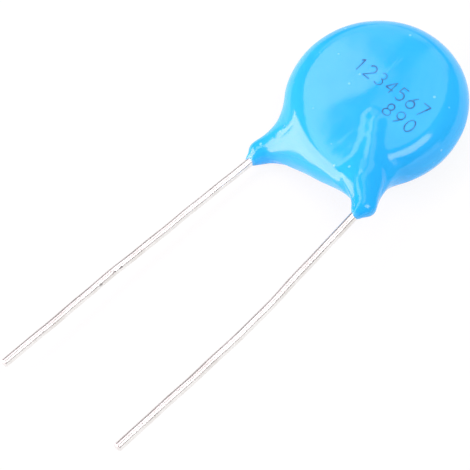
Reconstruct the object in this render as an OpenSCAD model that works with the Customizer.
// Radial-lead disc varistor: a ceramic disc with a printed electrode on each face, a tinned wire soldered
// to each electrode, and one dipped coating over the disc that runs down both wires as short legs.
// The part lies on its back face, leads towards -Y, as it comes to rest on a flat surface.

/* [Ceramic disc] */
// Diameter of the ceramic disc
disc_d = 10; // [8:0.1:12]
// Thickness of the ceramic disc
disc_t = 2.2; // [1.6:0.05:2.8]
// Chamfer on the rim of the ceramic disc
disc_chamfer = 0.15; // [0.05:0.05:0.3]
// Diameter of the printed electrodes
electrode_d = 8.8; // [7:0.1:9.2]
// Thickness of the printed electrodes
electrode_t = 0.05; // [0.03:0.01:0.1]

/* [Leads] */
// Diameter of the lead wire
wire_d = 0.6; // [0.5:0.05:0.7]
// Distance between the two wires where they leave the coating
exit_pitch = 9.5; // [8.8:0.1:10.2]
// Distance from the disc centre down to the point where the wires leave the coating
exit_reach = 8.25; // [7.8:0.05:8.8]
// Length of each lead outside the coating
lead_len = 21.6; // [16:0.1:30]
// Straight length at the free end of each lead
lead_end = 9; // [5:0.5:10]
// Direction of the front lead where it leaves the coating, measured off -Y towards -X
front_lean = 2.2; // [-3:0.1:6]
// Turn of the front lead in its gentle bow
front_bow = 4.7; // [1:0.1:5]
// Direction of the back lead where it leaves the coating, measured off -Y towards -X
back_lean = 9.8; // [3:0.1:11]
// Turn of the back lead in its gentle bow, the other way
back_bow = 1.2; // [1:0.1:5]
// Radius of the gentle bow of each lead, at the wire's centre line
bow_r = 60; // [40:5:60]
// Angle between the hidden run of each wire and the Y axis
run_skew = 30.5; // [27:0.5:33]
// Height of the inner wire ends, measured below the disc centre
run_end = 1.9; // [1.5:0.1:2.6]
// Radius of the bend between the hidden run and the lead, at the wire's centre line
bend_r = 0.9; // [0.7:0.05:1.1]

/* [Solder] */
// Width of the solder mound where it meets the electrode
solder_w = 2.2; // [1.8:0.1:2.3]
// Height of the solder mound above the electrode
solder_h = 0.5; // [0.4:0.02:0.56]
// Solder left beyond the inner end of the wire
solder_lap = 0.4; // [0.2:0.05:0.6]
// Film of solder between the wire and the electrode
solder_film = 0.05; // [0.03:0.01:0.08]

/* [Coating] */
// Coating over the electrodes at the rim of the face
face_coat = 0.66; // [0.6:0.02:0.9]
// Rise of the face from its rim to its middle
face_crown = 0.28; // [0.1:0.02:0.36]
// Extra fall of the face close to its rim
face_fall = 0.2; // [0.1:0.02:0.3]
// Coating outside the rim of the ceramic disc
rim_coat = 1.34; // [1.1:0.02:1.6]
// Rounding radius of the coated rim
rim_round = 1.7; // [1.3:0.05:1.8]
// Coating over the hidden wire along its ridge
ridge_coat = 0.34; // [0.32:0.01:0.5]
// Coating over the inner end of the hidden wire
knob_coat = 0.42; // [0.36:0.02:0.6]
// Length of the thicker coating at the inner end
knob_len = 0.9; // [0.6:0.1:1.2]
// Coating round the wire at the bend
knee_coat = 0.24; // [0.2:0.02:0.4]
// Coating beside the wire where the leg joins the disc
hip_coat = 0.5; // [0.4:0.02:0.8]
// Coating over the wire where the leg joins the disc
hip_cover = 0.4; // [0.36:0.01:0.5]
// Coating round the wire at the point where it leaves
lip_coat = 0.1; // [0.06:0.01:0.14]
// Length of the leg from its bend to the point where the wire leaves
nose_len = 0.97; // [0.85:0.01:1.3]
// Length of the leg from its bend to its thickest place
hip_len = 2.1; // [1.6:0.05:2.8]
// Height of the web's lower edge, measured below the disc centre
web_reach = 6.2; // [6:0.05:6.6]
// Thickness of the web
web_t = 1.6; // [1.4:0.05:1.8]
// Reach of the fillet between a leg and the rim
leg_fillet = 2.4; // [2:0.05:2.8]
// Reach of the fillet between the web and its neighbours
web_fillet = 2.45; // [2:0.05:2.8]
// Reach of the fillet between a ridge and the face
ridge_fillet = 0.5; // [0.3:0.05:0.8]

/* [Resting pose] */
// Turn about the X axis that lays the part on its back
rest_pitch = -1.005; // [-5:0.005:5]
// Turn about the Y axis that lays the part on its back
rest_roll = 2.649; // [-8:0.001:8]
// Height of the disc centre above the surface
rest_lift = 2.171; // [2:0.001:3]

/* [Mesh] */
// Rings of facets from the middle of each face to the rim
face_rings = 20; // [14:1:28]

/* [Hidden] */
$fn = 48;

// Colours
coating_colour = [0.15, 0.68, 0.96];
ceramic_colour = [0.32, 0.31, 0.30];
silver_colour = [0.78, 0.78, 0.76];
solder_colour = [0.66, 0.67, 0.68];
wire_colour = [0.85, 0.85, 0.84];

FRONT = 1;
BACK = -1;

// Heights above the mid plane of the disc
electrode_z = disc_t / 2;
seat_z = electrode_z + electrode_t;
wire_z = seat_z + solder_film + wire_d / 2;
face_z = seat_z + face_coat;

// Radii of the dipped form
coat_r = disc_d / 2 + rim_coat;
lip_r = wire_d / 2 + lip_coat;
knee_r = wire_d / 2 + knee_coat;
hip_r = wire_d / 2 + hip_coat;
hip_squash = hip_r / (wire_d / 2 + hip_cover);
ridge_r = wire_d / 2 + ridge_coat;
knob_r = wire_d / 2 + knob_coat;

// Points of each wire in the plane of its own face
function lean(side) = side == FRONT ? front_lean : back_lean;
function bow(side) = side == FRONT ? front_bow : back_bow;
function exit_point(side) = [side * exit_pitch / 2, -exit_reach];
function up_lead(side) = [sin(lean(side)), cos(lean(side))];
function up_run(side) = [-side * sin(run_skew), cos(run_skew)];
function knee_point(side) = exit_point(side) + nose_len * up_lead(side);
function run_len(side) = (-run_end - knee_point(side).y) / cos(run_skew);
function run_tip(side) = knee_point(side) + run_len(side) * up_run(side);
function hip_point(side) = knee_point(side) + hip_len * up_run(side);
function neck_point(side) = run_tip(side) - knob_len * up_run(side);
function lip_point(side) = exit_point(side) + lip_r * up_lead(side);

// Turn of the wire in its bend, and the length that the bend takes from each straight
function bend_turn(side) = run_skew + side * lean(side);
function bend_take(side) = bend_r * tan(bend_turn(side) / 2);

// Length of the gentle bow, and the straight wire between the bend and the bow
function bow_len(side) = bow_r * bow(side) * PI / 180;
function bow_from(side) = nose_len + lead_len - lead_end - bow_len(side);

// Free end of each wire, and its direction there, in the plane of its own face
function end_lean(side) = lean(side) + side * bow(side);
function free_end(side) =
    let (
        a = lean(side),
        b = end_lean(side),
        down = (bow_from(side) - nose_len) * [sin(a), cos(a)] + lead_end * [sin(b), cos(b)],
        round_bow = bow_r * side * [cos(a) - cos(b), sin(b) - sin(a)]
    )
    exit_point(side) - down - round_bow;

// Soft joining of two distances, with no crease
function ease(t) = let (u = max(0, min(1, t))) u * u * (3 - 2 * u);
function blend(a, b, reach) = let (h = max(reach - abs(a - b), 0)) min(a, b) - h * h / (4 * reach);

// Distance from a point to a bar whose radius eases from r0 at p0 to r1 at p1, flattened by k0 and k1
function bar(p, p0, p1, r0, r1, k0 = 1, k1 = 1) =
    let (
        d = p1 - p0,
        t = max(0, min(1, (p - p0) * d / (d * d))),
        u = ease(t),
        off = p - p0 - t * d
    )
    norm([off.x, off.y, off.z * (k0 + (k1 - k0) * u)]) - r0 - (r1 - r0) * u;

// Distance to the rounded disc with its crowned faces
edge_r = min(rim_round, face_z);
function disc_form(p) =
    let (
        r = norm([p.x, p.y]),
        out = min(r / coat_r, 1),
        h = face_z - edge_r + face_crown * (1 - pow(out, 2)) - face_fall * pow(out, 6),
        a = r - coat_r + edge_r,
        b = abs(p.z) - h
    )
    norm([max(a, 0), max(b, 0)]) + min(max(a, b), 0) - edge_r;

// Distance to one leg with its ridge, given the leg's points from its lip to the wire's inner end
knee_blend = 0.5 * wire_d;
hip_blend = 0.8 * wire_d;
neck_blend = 0.25 * wire_d;
function leg_points(side) = [
    for (p = [lip_point(side), knee_point(side), hip_point(side), neck_point(side), run_tip(side)])
        [p.x, p.y, side * wire_z]
];
front_leg = leg_points(FRONT);
back_leg = leg_points(BACK);
function leg_form(p, leg) =
    let (
        tip = bar(p, leg[0], leg[1], lip_r, knee_r),
        calf = bar(p, leg[1], leg[2], knee_r, hip_r, 1, hip_squash),
        ridge = bar(p, leg[2], leg[3], hip_r, ridge_r, hip_squash, 1),
        knob = bar(p, leg[3], leg[4], ridge_r, knob_r)
    )
    blend(blend(tip, calf, knee_blend), blend(ridge, knob, neck_blend), hip_blend);

// Azimuth off -Y of the legs, and the width over which the twist fades beyond them
leg_azimuth = atan2(exit_pitch / 2, exit_reach);
twist_fade = 38;
twist_from = 0.35 * disc_d;
twist_to = 0.72 * disc_d;

// Height of the surface half way through the coating: level in the disc, twisted between the legs
function mid_z(x, y) =
    let (
        azimuth = atan2(x, -y),
        beyond = abs(azimuth) - leg_azimuth,
        share = beyond < 0
            ? azimuth / leg_azimuth
            : sign(azimuth) * cos(90 * min(1, beyond / twist_fade))
    )
    wire_z * share * ease((norm([x, y]) - twist_from) / (twist_to - twist_from));

// Distance to the web that hangs between the legs
web_flat = 0.12 * web_t;
web_lap = 0.06 * web_t;
web_corner = 0.6 * web_t;
side_slope = [cos(run_skew), sin(run_skew)];
function web_side(p, leg) = [abs(p.x) - abs(leg[1].x), p.y - leg[1].y] * side_slope;
function web_form(p) =
    let (
        r = web_t / 2 - web_flat,
        below = r - web_reach - p.y,
        beside = web_side(p, p.x > 0 ? front_leg : back_leg) + r - web_lap,
        a = -blend(-below, -beside, web_corner),
        b = abs(p.z - mid_z(p.x, p.y)) - web_flat
    )
    norm([max(a, 0), max(b, 0)]) + min(max(a, b), 0) - r;

// Reach of the fillet round a leg: wide low down beside the rim, narrow where a ridge rises from the face
fillet_from = 0.3 * disc_d;
fillet_to = 0.6 * disc_d;
fillet_low = disc_t / 2;
fillet_high = fillet_low + 0.08 * disc_d;
function fillet_reach(p) =
    let (
        out = ease((norm([p.x, p.y]) - fillet_from) / (fillet_to - fillet_from)),
        low = 1 - ease((abs(p.z) - fillet_low) / (fillet_high - fillet_low))
    )
    ridge_fillet + (leg_fillet - ridge_fillet) * out * low;

// Reach of the fillet round the web: full beside the rim, less over the top of a leg
web_low = 0.17 * disc_d;
web_high = 0.26 * disc_d;
web_share = 0.35;
function web_fillet_reach(p) =
    let (up = ease((abs(p.z) - web_low) / (web_high - web_low)))
    web_fillet * (1 - (1 - web_share) * up);

// The whole dipped form: less than zero inside, zero on its surface
function coat_form(p) =
    let (legs = min(leg_form(p, front_leg), leg_form(p, back_leg)))
    blend(blend(disc_form(p), legs, fillet_reach(p)), web_form(p), web_fillet_reach(p));

// Azimuths of the facets, close together across each leg
leg_zone = 13;
web_steps = 6;
leg_steps = 20;
rim_steps = 16;
zone_ease = 1.35;
rim_ease = 1.3;
function signed_pow(t, n) = sign(t) * pow(abs(t), n);
half_turn = concat(
    [for (i = [0 : web_steps - 1]) (leg_azimuth - leg_zone) * i / web_steps],
    [for (i = [0 : leg_steps]) leg_azimuth + leg_zone * signed_pow(2 * i / leg_steps - 1, zone_ease)],
    [for (i = [1 : rim_steps])
        let (start = leg_azimuth + leg_zone)
        start + (180 - start) * pow(i / rim_steps, rim_ease)]
);
azimuths = concat(
    half_turn,
    [for (i = [len(half_turn) - 2 : -1 : 1]) -half_turn[i]]
);
function heading(azimuth) = [sin(azimuth), -cos(azimuth)];

// Point where the form's surface lies between a point inside it and a point outside it
function skin_point(inside, outside, steps) =
    let (p = (inside + outside) / 2)
    steps == 0
        ? p
        : coat_form(p) < 0 ? skin_point(p, outside, steps - 1) : skin_point(inside, p, steps - 1);
search_steps = 14;
search_from = 0.3 * disc_d;
search_to = 1.2 * disc_d;
search_up = 0.3 * disc_d;

// Radius of the outline at one azimuth
function outline_r(azimuth, inside_r = search_from, outside_r = search_to, steps = search_steps + 3) =
    let (r = (inside_r + outside_r) / 2, p = r * heading(azimuth))
    steps == 0
        ? r
        : coat_form([p.x, p.y, mid_z(p.x, p.y)]) < 0
            ? outline_r(azimuth, r, outside_r, steps - 1)
            : outline_r(azimuth, inside_r, r, steps - 1);
outline = [for (azimuth = azimuths) outline_r(azimuth)];

// Rings of points, crowded towards the rim, on the front and on the back
first_ring = 0.08;
function ring_share(ring) = sin(90 * (first_ring + (1 - first_ring) * ring / face_rings));
function on_face(x, y, side) =
    let (z = mid_z(x, y))
    skin_point([x, y, z], [x, y, z + side * search_up], search_steps);
function face_ring(ring, side) = [
    for (i = [0 : len(azimuths) - 1])
        let (p = ring_share(ring) * outline[i] * heading(azimuths[i]))
        on_face(p.x, p.y, side)
];
function rim_ring() = [
    for (i = [0 : len(azimuths) - 1])
        let (p = outline[i] * heading(azimuths[i]))
        [p.x, p.y, mid_z(p.x, p.y)]
];

// Skin of the coating, from the middle of the front over the rim to the middle of the back
module dipped_form() {
    around = len(azimuths);
    rings = 2 * face_rings + 1;
    points = concat(
        [on_face(0, 0, FRONT)],
        [for (ring = [0 : face_rings - 1]) each face_ring(ring, FRONT)],
        rim_ring(),
        [for (ring = [face_rings - 1 : -1 : 0]) each face_ring(ring, BACK)],
        [on_face(0, 0, BACK)]
    );
    last = len(points) - 1;
    front_fan = [for (i = [0 : around - 1]) [0, 1 + (i + 1) % around, 1 + i]];
    bands = [
        for (ring = [0 : rings - 2], i = [0 : around - 1])
            let (
                a = 1 + ring * around + i,
                b = 1 + ring * around + (i + 1) % around
            )
            each [[a, b, b + around], [a, b + around, a + around]]
    ];
    back_fan = [
        for (i = [0 : around - 1])
            [last, last - around + i, last - around + (i + 1) % around]
    ];
    polyhedron(points = points, faces = concat(front_fan, bands, back_fan), convexity = 6);
}

// Middle of the ground that the part covers, seen from the middle of the disc
ground_left = (free_end(BACK).x - wire_d / 2) * cos(rest_roll) - wire_z * sin(rest_roll);
ground_down = min(free_end(FRONT).y, free_end(BACK).y);
ground_x = (coat_r + ground_left) / 2;
ground_y = (coat_r + ground_down) / 2;

// Lays the finished part on its back
module at_rest() {
    translate([-ground_x, -ground_y, rest_lift]) rotate([rest_pitch, rest_roll, 0]) children();
}

// Carries what is drawn on the front face to its own face
module on_side(side) {
    mirror([0, 0, side == FRONT ? 0 : 1]) children();
}

// Each straight reaches a little way into the bend that follows it, and a bend is thinner by a hair,
// so the surfaces of one wire always cross and never lie on each other
wire_lap = 0.03;
wire_hair = 0.002;

// Straight wire along +Y, with what follows at its end
module straight(length, lap = wire_lap) {
    translate([0, -wire_lap, 0]) rotate([-90, 0, 0]) cylinder(d = wire_d, h = length + wire_lap + lap);
    translate([0, length, 0]) children();
}

// Bent wire that starts along +Y and turns left, or right for a turn below zero
bend_facets = 10;
module bend(radius, turn) {
    hand = sign(turn);
    translate([-hand * radius, 0, 0]) {
        rotate([0, 0, hand > 0 ? 0 : 180])
            rotate_extrude(angle = turn, $fn = ceil(bend_facets * 360 / abs(turn)))
                translate([radius, 0]) circle(r = wire_d / 2 - wire_hair, $fn = 48);
        rotate([0, 0, turn]) translate([hand * radius, 0, 0]) children();
    }
}

// One wire, from its inner end over the bend and down the bowed lead to its free end
module wire(side) {
    tip = run_tip(side);
    on_side(side) translate([tip.x, tip.y, wire_z]) rotate([0, 0, 180 + side * run_skew])
        straight(run_len(side) - bend_take(side))
            bend(bend_r, -side * bend_turn(side))
                straight(bow_from(side) - bend_take(side))
                    bend(bow_r, -side * bow(side))
                        straight(lead_end, 0);
}

// Round mound of solder over the inner end of one wire
module solder_mound(side) {
    mound_r = (solder_w * solder_w / 4 + solder_h * solder_h) / (2 * solder_h);
    middle = run_tip(side) - (solder_w / 2 - solder_lap) * up_run(side);
    on_side(side) intersection() {
        translate([middle.x, middle.y, seat_z + solder_h - mound_r]) sphere(r = mound_r);
        translate([middle.x, middle.y, seat_z]) cylinder(d = solder_w + wire_d, h = mound_r);
    }
}

module ceramic_blank() {
    rotate_extrude($fn = 96) polygon([
        [0, -electrode_z],
        [disc_d / 2 - disc_chamfer, -electrode_z],
        [disc_d / 2, disc_chamfer - electrode_z],
        [disc_d / 2, electrode_z - disc_chamfer],
        [disc_d / 2 - disc_chamfer, electrode_z],
        [0, electrode_z]
    ]);
}

module electrode_blank(side) {
    on_side(side) translate([0, 0, electrode_z]) cylinder(d = electrode_d, h = electrode_t, $fn = 96);
}

module coating() {
    color(coating_colour) at_rest() difference() {
        dipped_form();
        ceramic_blank();
        for (side = [FRONT, BACK]) {
            electrode_blank(side);
            solder_mound(side);
            wire(side);
        }
    }
}

module ceramic_disc() {
    color(ceramic_colour) at_rest() ceramic_blank();
}

module electrode(side) {
    color(silver_colour) at_rest() electrode_blank(side);
}

module solder(side) {
    color(solder_colour) at_rest() difference() {
        solder_mound(side);
        wire(side);
    }
}

module lead(side) {
    color(wire_colour) at_rest() wire(side);
}

coating();
ceramic_disc();
electrode(FRONT);  // electrode_front
electrode(BACK);  // electrode_back
solder(FRONT);  // solder_front
solder(BACK);  // solder_back
lead(FRONT);  // lead_front
lead(BACK);  // lead_back
